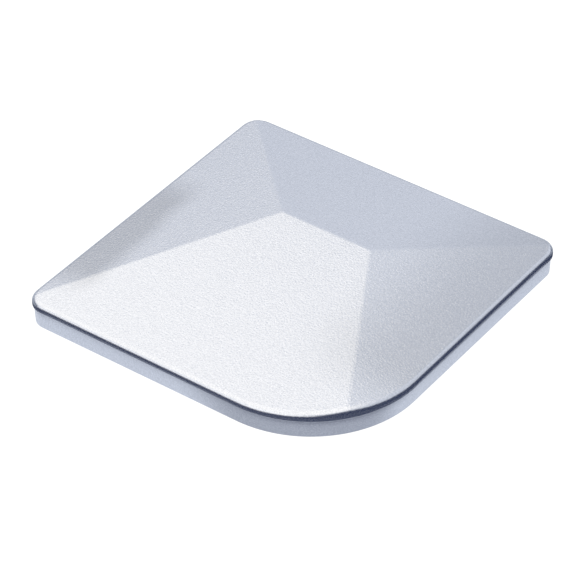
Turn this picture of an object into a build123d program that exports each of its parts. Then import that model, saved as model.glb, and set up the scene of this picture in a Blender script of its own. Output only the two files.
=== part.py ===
"""Square post cap, moulded in one piece: a low hipped roof, a rounded lip and a short skirt.

Frame: +Z up, X along the ridge, origin at the centre of the plane of the skirt's rim.
Three corners are tight and the fourth, at +X -Y, has a large radius. The ridge stands the
same distance in from the +X, -X and +Y sides, so the facet down to the -Y side is longer
and shallower. All sizes are in millimetres.
"""

from build123d import *
import math
import os

# Outline, seen from above
side = 100.0              # across the lip
large_corner = 32.5       # radius of the lip's one large corner
small_corner = 5.5        # radius of the lip's three tight corners
least_corner = 0.5        # the sharpest inside corner that the mould has

# Roof
eave_height = 7.5         # where the facets would meet the lip's upright face, above the rim
ridge_rise = 4.5          # the ridge above the eave
ridge_run = 36.0          # in plan, from the ridge to its three nearer sides
crease_round = 5.0        # soft rounding along the ridge and the hips

# Lip, from its top edge down
lip_round = 1.5           # rounding between the facets and the upright face
lip_flat = 0.45           # what is left of the upright face
lip_under_round = 0.35    # rounding under the lip
lip_overhang = 0.45       # beyond the top of the skirt

# Walls and draft
roof_wall = 2.4
skirt_wall = 2.2          # at the top of the skirt
skirt_draft = 2.0         # degrees, the outside narrowing towards the rim
socket_draft = 1.0        # degrees, the inside widening towards the rim
rim_round = 0.3           # along the foot of the skirt
socket_round = 0.9        # inside, between the roof and the skirt

# Grip ribs that bite on the post, two on each wall of the socket
rib_radius = 0.8
rib_stand = 0.45          # how far a rib stands out of the wall
rib_setback = 14.0        # from the end of a wall's straight run to the rib
rib_lead = 1.0            # clear height at the rim, where the post enters
rib_sink = 0.8            # how far a rib's top end sinks into the roof

lip_foot = eave_height - lip_round - lip_flat - lip_under_round
skirt_top = lip_foot + lip_under_round + lip_flat      # where the skirt ends, inside the lip
socket_inset = lip_overhang + skirt_wall


def outline(inset):
    """The cap's plan shape, moved in from the lip all round."""
    width = side - 2 * inset
    plan = Rectangle(width, width)
    towards_large = Axis((0, 0, 0), (1, -1, 0))
    tight = plan.vertices().sort_by(towards_large)[:-1]
    plan = fillet(tight, max(small_corner - inset, least_corner))
    last = plan.vertices().sort_by(towards_large)[-1]
    return fillet(last, max(large_corner - inset, least_corner))


def facets():
    """The four roof planes, each as its outward direction in plan and its run to the ridge."""
    long_run = side - ridge_run
    return [((1, 0), ridge_run), ((-1, 0), ridge_run), ((0, 1), ridge_run), ((0, -1), long_run)]


def roofed(block, drop):
    """Cuts a block down to the roof planes, each moved in by drop, square to itself."""
    for (out_x, out_y), run in facets():
        slope = math.atan2(ridge_rise, run)
        normal = Vector(out_x * math.sin(slope), out_y * math.sin(slope), math.cos(slope))
        eave = Vector(out_x * side / 2, out_y * side / 2, eave_height)
        block = split(block, bisect_by=Plane(eave - normal * drop, z_dir=normal), keep=Keep.BOTTOM)
    return block


def roof_edges(block, floor):
    """A roofed block's edges above a height: those along its upright sides, then its creases."""
    upright = block.faces().filter_by(lambda face: abs(face.normal_at().Z) < 0.5)
    high = block.edges().filter_by(lambda edge: edge.bounding_box().min.Z > floor)
    rim = high & upright.edges()
    return rim, high - rim


def rounded_roof(block, floor, rim_radius):
    """Softens the creases first, so that the rounding of the rim has no sharp hip to turn."""
    creases = roof_edges(block, floor)[1]
    block = fillet(creases, crease_round)
    rim = roof_edges(block, floor)[0]
    return fillet(rim, rim_radius)


def lip_and_roof():
    block = Pos(0, 0, lip_foot) * extrude(outline(0), eave_height + ridge_rise - lip_foot)
    block = rounded_roof(roofed(block, 0), skirt_top, lip_round)
    return fillet(block.edges().group_by(Axis.Z)[0], lip_under_round)


def skirt():
    narrowing = lip_foot * math.tan(math.radians(skirt_draft))
    wall = extrude(outline(lip_overhang + narrowing), skirt_top, taper=-skirt_draft)
    return fillet(wall.edges().group_by(Axis.Z)[0], rim_round)


def socket():
    """The hollow for the head of the post, open at the rim."""
    widening = lip_foot * math.tan(math.radians(socket_draft))
    hollow = extrude(outline(socket_inset - widening), eave_height + ridge_rise, taper=socket_draft)
    return rounded_roof(roofed(hollow, roof_wall), lip_foot / 2, socket_round)


def rib():
    """One grip rib, upright, with a round nose as a lead for the post."""
    top = eave_height - roof_wall + rib_sink
    nose_height = rib_lead + rib_radius
    column = Pos(0, 0, nose_height) * extrude(Circle(rib_radius), top - nose_height)
    return column + Pos(0, 0, nose_height) * Sphere(rib_radius)


def rib_places():
    """Where the ribs stand, in from the ends of each wall's straight run."""
    wall = side / 2 - socket_inset
    near_tight = side / 2 - small_corner - rib_setback
    near_large = side / 2 - large_corner - rib_setback
    centre = wall + rib_radius - rib_stand
    full = [(along * near_tight, centre) for along in (-1, 1)]
    left_of_large = [(-near_tight, -centre), (near_large, -centre)]
    places = full + left_of_large
    return places + [(-y, -x) for x, y in places]


if __name__ == "__main__":
    os.makedirs("parts", exist_ok=True)
    cap = lip_and_roof() + skirt() - socket()
    cap += [Pos(x, y, 0) * rib() for x, y in rib_places()]
    export_step(cap, "parts/post_cap.step")
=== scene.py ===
# %% [markdown]
# # A moulded post cap in silver plastic
# The real object is a low square cap that closes the top of a post. It was moulded in one piece:
# four shallow facets, a small rounded lip, and a short skirt that goes over the wood. The packed
# model already has that shape at its real size, with true normals on every rounding, so nothing is
# modelled again here. This lesson gives it a camera, a table, studio light and its finish.

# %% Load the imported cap
import bmesh
import bpy
import math
from mathutils import Matrix, Vector

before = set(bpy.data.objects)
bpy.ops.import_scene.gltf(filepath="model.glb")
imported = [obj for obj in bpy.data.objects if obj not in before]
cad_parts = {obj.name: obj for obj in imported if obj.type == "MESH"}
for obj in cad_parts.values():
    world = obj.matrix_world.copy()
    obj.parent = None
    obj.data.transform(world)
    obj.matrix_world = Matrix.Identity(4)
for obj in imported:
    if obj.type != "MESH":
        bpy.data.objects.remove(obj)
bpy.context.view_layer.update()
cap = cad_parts["post_cap"]

# %% [markdown]
# ## Directions
# The camera and the lamps stand round the cap, so two angles say best where they are. Azimuth 0 is
# in front, on the -Y side, and 90 is on the +X side. Elevation is the angle above the table. This
# helper turns the two angles into a direction, and the low lamp is placed with it. The camera's
# turn is given in the same two angles.

# %% Directions from two angles
def direction(azimuth, elevation):
    turn, rise = math.radians(azimuth), math.radians(elevation)
    level = math.cos(rise)
    return Vector((math.sin(turn) * level, -math.cos(turn) * level, math.sin(rise)))


print("The front of the cap is towards", tuple(direction(0, 0)))

# %% [markdown]
# ## The camera
# The photograph was taken with a long lens from above the large corner, which is why the far edges
# are nearly as long as the near ones. The place, the angles and the lens come from fitting the
# cap's edges to those in the picture. The small roll is how level the camera was held.

# %% Camera
camera_place = Vector((0.3748, -0.5197, 0.5180))
camera_azimuth = 35.88
camera_elevation = 38.91
camera_roll = -0.06
camera_lens = 195.1

camera_data = bpy.data.cameras.new("camera")
camera_data.lens = camera_lens
camera_data.clip_start = 0.01
camera = bpy.data.objects.new("camera", camera_data)
camera.matrix_world = (
    Matrix.Translation(camera_place)
    @ Matrix.Rotation(math.radians(camera_azimuth), 4, "Z")
    @ Matrix.Rotation(math.radians(90 - camera_elevation), 4, "X")
    @ Matrix.Rotation(math.radians(camera_roll), 4, "Z")
)
bpy.context.scene.collection.objects.link(camera)
bpy.context.scene.camera = camera
print("Camera", round(camera_place.length, 3), "m from the cap, lens", camera_lens, "mm")

# %% [markdown]
# ## Node helpers
# A material is a small network. These helpers keep each one readable: one adds a node with its
# values, one joins an output to an input, and one starts an empty material. A Mix node has several
# sockets of one name, so those for colours and for numbers go by their places.

# %% Nodes and links
number_a, number_b, number_out = 2, 3, 0
colour_a, colour_b, colour_out = 6, 7, 2


def add_node(tree, kind, **values):
    node = tree.nodes.new(kind)
    for name, value in values.items():
        if name in node.inputs:
            node.inputs[name].default_value = value
        else:
            setattr(node, name, value)
    return node


def join(tree, source, output, target, target_input):
    tree.links.new(source.outputs[output], target.inputs[target_input])


def new_material(name):
    material = bpy.data.materials.new(name)
    material.use_nodes = True
    material.node_tree.nodes.clear()
    return material, material.node_tree


print("Colours enter a Mix node at", colour_a, "and", colour_b)

# %% [markdown]
# Five more helpers make the steps that the materials and the world share. A ramp turns one range
# of values into another with a soft start and end. Along tells how far something lies towards an
# axis. Blend goes from one colour to another. Merge takes two values into one. The last helper
# marks the rays that see a surface directly, which are those of the camera and those through glass.

# %% Shared steps
def ramp(tree, source, output, ends, levels):
    found = add_node(tree, "ShaderNodeMapRange", interpolation_type="SMOOTHSTEP")
    found.inputs["From Min"].default_value = ends[0]
    found.inputs["From Max"].default_value = ends[1]
    found.inputs["To Min"].default_value = levels[0]
    found.inputs["To Max"].default_value = levels[1]
    join(tree, source, output, found, "Value")
    return found


def along(tree, source, output, axis):
    found = add_node(tree, "ShaderNodeVectorMath", operation="DOT_PRODUCT")
    found.inputs[1].default_value = axis
    join(tree, source, output, found, 0)
    return found


def blend(tree, source, output, first, second):
    found = add_node(tree, "ShaderNodeMix", data_type="RGBA")
    found.inputs[colour_a].default_value = first
    found.inputs[colour_b].default_value = second
    join(tree, source, output, found, "Factor")
    return found


def merge(tree, operation, first, first_output, second, second_output):
    found = add_node(tree, "ShaderNodeMath", operation=operation)
    join(tree, first, first_output, found, 0)
    join(tree, second, second_output, found, 1)
    return found


def direct_rays(tree):
    ray = add_node(tree, "ShaderNodeLightPath")
    return merge(tree, "ADD", ray, "Is Camera Ray", ray, "Is Transmission Ray")


print("Shared steps ready")

# %% [markdown]
# ## The table and the card
# The cap lies on a small white card on a dim table. The picture shows this in the cap itself: the
# skirt mirrors something white close to its foot, while the lip just above it mirrors something dark
# farther out. The card ends a few millimetres outside the lip, which is what gives the dark band its
# width.

# %% Flat plates
corner_segments = 16


def plate(name, half_x, half_y, height, corner_radii):
    shape = bmesh.new()
    bmesh.ops.create_grid(shape, x_segments=1, y_segments=1, size=1.0)
    bmesh.ops.scale(shape, vec=(half_x, half_y, 1.0), verts=shape.verts)
    bmesh.ops.translate(shape, vec=(0, 0, height), verts=shape.verts)
    for corner, radius in corner_radii.items():
        found = [v for v in shape.verts if v.co.x * corner[0] > 0 and v.co.y * corner[1] > 0]
        bmesh.ops.bevel(shape, geom=found, offset=radius, segments=corner_segments, profile=0.5,
                        affect="VERTICES", material=-1)
    mesh = bpy.data.meshes.new(name)
    shape.to_mesh(mesh)
    shape.free()
    piece = bpy.data.objects.new(name, mesh)
    bpy.context.scene.collection.objects.link(piece)
    print(name, "has", len(mesh.vertices), "corners")
    return piece


# %% Table and card
table_half_width = 3.0
card_thickness = 0.0005
card_half_x = 0.0535
card_half_y = 0.0543
card_large_corner = 0.035
card_small_corner = 0.009

table = plate("table", table_half_width, table_half_width, -card_thickness, {})
card = plate("card", card_half_x, card_half_y, 0.0, {
    (1, -1): card_large_corner, (-1, -1): card_small_corner,
    (1, 1): card_small_corner, (-1, 1): card_small_corner,
})

# %% [markdown]
# The picture was cut out on white, so the camera sees both plates as white, with a share of their
# real shading that keeps the cap's shadow. The gloss of the plastic sees colours of its own, which
# change along one axis. Light Path tells the rays apart. The skirt is a little darker round the
# large corner, so the card's gloss colour has painted shade towards the camera. The far edges of
# the lip have no dark line, so the table behind them is bright, like a sweep of paper.

# %% Paper and table finishes
paper_colour = (0.80, 0.80, 0.80, 1.0)
camera_white = (1.25, 1.25, 1.25, 1.0)
camera_shading = 0.25


def stage_material(name, axis, ends, colours, gloss_shading):
    material, tree = new_material(name)
    place = add_node(tree, "ShaderNodeTexCoord")
    change = ramp(tree, along(tree, place, "Object", axis), "Value", ends, (0.0, 1.0))
    mirrored = blend(tree, change, "Result", colours[0], colours[1])
    direct = direct_rays(tree)
    seen = add_node(tree, "ShaderNodeMix", data_type="RGBA")
    seen.inputs[colour_b].default_value = camera_white
    join(tree, direct, 0, seen, "Factor")
    join(tree, mirrored, colour_out, seen, colour_a)
    glow = add_node(tree, "ShaderNodeEmission", Strength=1.0)
    join(tree, seen, colour_out, glow, "Color")
    shaded = add_node(tree, "ShaderNodeBsdfDiffuse", Color=paper_colour)

    ray = add_node(tree, "ShaderNodeLightPath")
    direct_share = add_node(tree, "ShaderNodeMath", operation="MULTIPLY")
    direct_share.inputs[1].default_value = 1 - camera_shading
    join(tree, direct, 0, direct_share, 0)
    glow_share = add_node(tree, "ShaderNodeMath", operation="MULTIPLY_ADD")
    glow_share.inputs[1].default_value = 1 - gloss_shading
    join(tree, ray, "Is Glossy Ray", glow_share, 0)
    join(tree, direct_share, 0, glow_share, 2)
    mix = add_node(tree, "ShaderNodeMixShader")
    join(tree, glow_share, 0, mix, 0)
    join(tree, shaded, 0, mix, 1)
    join(tree, glow, 0, mix, 2)
    out = add_node(tree, "ShaderNodeOutputMaterial")
    join(tree, mix, 0, out, "Surface")
    return material


print("The camera sees", camera_shading, "of the plates' real shading")

# %% Two finishes
camera_side = (0.50, -0.87, 0.0)
# Painted shade: towards the camera the card's gloss colour darkens from the first colour to the
# second.
card_painted_shade_ends = (0.043, 0.053)
card_colours = ((0.84, 0.88, 0.96, 1.0), (0.50, 0.53, 0.60, 1.0))
card_gloss_shading = 0.15
far_side = (-0.71, 0.71, 0.0)
table_rise = (0.000, 0.030)
table_colours = ((0.02, 0.035, 0.09, 1.0), (0.70, 0.74, 0.80, 1.0))
table_gloss_shading = 0.01

card_finish = stage_material("white_card", camera_side, card_painted_shade_ends, card_colours, card_gloss_shading)
table_finish = stage_material("dim_table", far_side, table_rise, table_colours, table_gloss_shading)
card.data.materials.append(card_finish)
table.data.materials.append(table_finish)
print("Finishes:", card_finish.name, "and", table_finish.name)

# %% [markdown]
# ## Studio light
# The picture tells where the lamps were. The longest facet is bright and warm and the other three
# are bluish, although all four mirror directions at the back left that are not far apart. So the edge
# of a warm softbox passed between those directions: it hung overhead, turned a little against the
# cap. In front, the lip stays bright down to low directions, so a long panel stood low there, under
# the camera. A panel is set by its brightness, because that is what a glossy face shows, and its
# power follows from its area.

# %% Light panels
def light_panel(name, place, aim, spin, size, brightness, colour):
    panel = bpy.data.lights.new(name, "AREA")
    panel.shape = "RECTANGLE"
    panel.size, panel.size_y = size
    panel.energy = brightness * math.pi * size[0] * size[1]
    panel.color = colour
    lamp = bpy.data.objects.new(name, panel)
    turn = aim.to_track_quat("Z", "Y").to_matrix().to_4x4()
    about_up = Matrix.Rotation(math.radians(spin), 4, "Z")
    lamp.matrix_world = Matrix.Translation(place) @ about_up @ turn
    bpy.context.scene.collection.objects.link(lamp)
    print("Panel", name, "at", [round(c, 2) for c in place], "brightness", brightness)


# %% Softbox and low panel
softbox_place = Vector((-0.29, -0.42, 1.0))
softbox_spin = -30
softbox_size = (2.79, 1.92)
softbox_brightness = 0.67
softbox_colour = (1.0, 0.88, 0.66)
low_place = direction(355, 19)
low_size = (1.80, 0.36)
low_brightness = 1.10
low_colour = (1.0, 0.95, 0.87)

straight_up = Vector((0, 0, 1))
light_panel("softbox", softbox_place, straight_up, softbox_spin,
            softbox_size, softbox_brightness, softbox_colour)
light_panel("low_panel", low_place, low_place, 0, low_size, low_brightness, low_colour)

# %% [markdown]
# The rest of the studio is the world: a diffuser of bluish white above and a deep blue below, which
# colours the dark band. The border between them is soft and follows a tilted axis. At the back left
# the sweep of paper stays bright down to the table, and straight behind the diffuser is a little
# brighter still. The camera sees plain white, and so does anything seen through glass.

# %% Diffuser
diffuser_colour = (0.805, 0.824, 0.870, 1.0)
shade_colour = (0.020, 0.035, 0.090, 1.0)
diffuser_axis = (-0.05, 0.07, 1.0)
diffuser_border = (0.23, 0.43)
sweep_axis = (-0.71, 0.71, 0.0)
sweep_border = (0.60, 0.80)
sweep_share = 0.57
back_axis = (0.0, 1.0, 0.0)
back_border = (0.60, 0.85)
back_gain = 1.12

world = bpy.data.worlds.new("diffuser")
world.use_nodes = True
bpy.context.scene.world = world
tree = world.node_tree
tree.nodes.clear()
place = add_node(tree, "ShaderNodeTexCoord")
up = along(tree, place, "Generated", diffuser_axis)
back_left = along(tree, place, "Generated", sweep_axis)
back = along(tree, place, "Generated", back_axis)
above = ramp(tree, up, "Value", diffuser_border, (0.0, 1.0))
sweep = ramp(tree, back_left, "Value", sweep_border, (0.0, sweep_share))
gain = ramp(tree, back, "Value", back_border, (1.0, back_gain))
share = merge(tree, "MAXIMUM", above, "Result", sweep, "Result")
shade = blend(tree, share, 0, shade_colour, diffuser_colour)
studio = add_node(tree, "ShaderNodeBackground")
join(tree, shade, colour_out, studio, "Color")
join(tree, gain, "Result", studio, "Strength")
white = add_node(tree, "ShaderNodeBackground", Color=(1.0, 1.0, 1.0, 1.0), Strength=1.0)
mix = add_node(tree, "ShaderNodeMixShader")
join(tree, direct_rays(tree), 0, mix, 0)
join(tree, studio, 0, mix, 1)
join(tree, white, 0, mix, 2)
out = add_node(tree, "ShaderNodeOutputWorld")
join(tree, mix, 0, out, "Surface")
bpy.context.scene.view_settings.view_transform = "Standard"
print("Diffuser", diffuser_colour[:3], "above and", shade_colour[:3], "below")

# %% [markdown]
# ## Silver plastic
# The plastic is filled with silver pigment and the mould was spark eroded, so the face is satin
# with a fine grain. Three things are added to its colour and surface: the pigment's specks, painted
# shade along two eaves, and the grain. All of them use Object coordinates, so they stay with the cap
# at its real scale. The painted shade and the grain are on the facets only, and the object's normal
# tells where those are: it points nearly straight up on a facet, and less so on the lip and the
# skirt.

# %% The plastic and its facets
facet_rise = (0.930, 0.988)
metal_share = 0.95

silver, tree = new_material("silver_plastic")
place = add_node(tree, "ShaderNodeTexCoord")
surface = add_node(tree, "ShaderNodeBsdfPrincipled", Metallic=metal_share)
out = add_node(tree, "ShaderNodeOutputMaterial")
join(tree, surface, "BSDF", out, "Surface")

normal = add_node(tree, "ShaderNodeSeparateXYZ")
join(tree, place, "Normal", normal, 0)
on_facet = ramp(tree, normal, "Z", facet_rise, (0.0, 1.0))
print("A facet's normal rises at least", facet_rise[1])

# %% [markdown]
# The pigment's colour changes a little from speck to speck, and the specks are smaller than half a
# millimetre.

# %% Pigment
pigment_dark = (0.610, 0.642, 0.712, 1.0)
pigment_light = (0.690, 0.722, 0.794, 1.0)
speck_size = 0.00042
noise_contrast = (0.35, 0.65)

specks = add_node(tree, "ShaderNodeTexNoise", Scale=1 / speck_size, Detail=2.0, Roughness=0.6)
join(tree, place, "Object", specks, "Vector")
spread = ramp(tree, specks, "Fac", noise_contrast, (0.0, 1.0))
pigment = blend(tree, spread, "Result", pigment_dark, pigment_light)
print("Specks", round(speck_size * 1000, 2), "mm across")

# %% [markdown]
# Two bands of painted shade darken the colour, one along the +X eave and a shorter one along the -X
# eave, where the facets' reflection is dimmer. Each fades in across the cap and fades out past its
# length. Wide noise bends their edges.

# %% Bent coordinates for the painted eave shade
cloud_size = 0.030
cloud_reach = 0.008

clouds = add_node(tree, "ShaderNodeTexNoise", Scale=1 / cloud_size, Detail=3.0, Roughness=0.5)
join(tree, place, "Object", clouds, "Vector")
drift = add_node(tree, "ShaderNodeVectorMath", operation="MULTIPLY_ADD")
drift.inputs[1].default_value = (cloud_reach, cloud_reach, 0.0)
join(tree, clouds, "Color", drift, 0)
join(tree, place, "Object", drift, 2)
bent = add_node(tree, "ShaderNodeVectorMath", operation="SUBTRACT")
bent.inputs[1].default_value = (cloud_reach / 2, cloud_reach / 2, 0.0)
join(tree, drift, 0, bent, 0)
bent_place = add_node(tree, "ShaderNodeSeparateXYZ")
join(tree, bent, 0, bent_place, 0)
print("The marks' edges bend by up to", cloud_reach / 2 * 1000, "mm")

# %% Painted shade along the eaves
# Painted shade: two bands that darken the base colour along the +X and -X eaves.
right_eave_shade = {"across": (0.013, 0.046), "centre": 0.018, "along": (0.032, 0.055), "loss": 0.20}
left_eave_shade = {"across": (-0.0365, -0.0440), "centre": -0.014, "along": (0.016, 0.032), "loss": 0.24}


def painted_eave_shade(mark):
    painted_darkening = ramp(tree, bent_place, "X", mark["across"], (0.0, mark["loss"]))
    offset = add_node(tree, "ShaderNodeMath", operation="SUBTRACT")
    offset.inputs[1].default_value = mark["centre"]
    join(tree, bent_place, "Y", offset, 0)
    distance = add_node(tree, "ShaderNodeMath", operation="ABSOLUTE")
    join(tree, offset, 0, distance, 0)
    inside = ramp(tree, distance, 0, mark["along"], (1.0, 0.0))
    return merge(tree, "MULTIPLY", painted_darkening, "Result", inside, "Result")


# The painted shade takes its share off the pigment's colour on the facets.
painted_shade_sum = merge(tree, "ADD", painted_eave_shade(right_eave_shade), 0, painted_eave_shade(left_eave_shade), 0)
unshaded_share = add_node(tree, "ShaderNodeMath", operation="SUBTRACT")
unshaded_share.inputs[0].default_value = 1.0
join(tree, painted_shade_sum, 0, unshaded_share, 1)
colour_with_painted_shade = add_node(tree, "ShaderNodeMix", data_type="RGBA", blend_type="MULTIPLY")
join(tree, on_facet, "Result", colour_with_painted_shade, "Factor")
join(tree, pigment, colour_out, colour_with_painted_shade, colour_a)
join(tree, unshaded_share, 0, colour_with_painted_shade, colour_b)
join(tree, colour_with_painted_shade, colour_out, surface, "Base Color")
print("The marks take", right_eave_shade["loss"], "and", left_eave_shade["loss"], "of the colour")

# %% [markdown]
# The grain is a bump on the facets. The same noise changes the roughness from grain to grain, as
# spark erosion leaves some of them smoother. The lip and the skirt were polished, so they keep one
# even gloss.

# %% Grain and gloss
grain_size = 0.00050
grain_depth = 0.00008
grain_roughness = (0.235, 0.265)
lip_roughness = 0.27

grain = add_node(tree, "ShaderNodeTexNoise", Scale=1 / grain_size, Detail=2.0, Roughness=0.5)
join(tree, place, "Object", grain, "Vector")
bump = add_node(tree, "ShaderNodeBump", Distance=grain_depth)
join(tree, on_facet, "Result", bump, "Strength")
join(tree, grain, "Fac", bump, "Height")
join(tree, bump, "Normal", surface, "Normal")

facet_roughness = ramp(tree, grain, "Fac", noise_contrast, grain_roughness)
roughness = add_node(tree, "ShaderNodeMix", data_type="FLOAT")
roughness.inputs[number_a].default_value = lip_roughness
join(tree, on_facet, "Result", roughness, "Factor")
join(tree, facet_roughness, "Result", roughness, number_b)
join(tree, roughness, number_out, surface, "Roughness")

cap.material_slots[0].material = silver
print("Grain", grain_size * 1000, "mm across and", grain_depth * 1000, "mm deep")
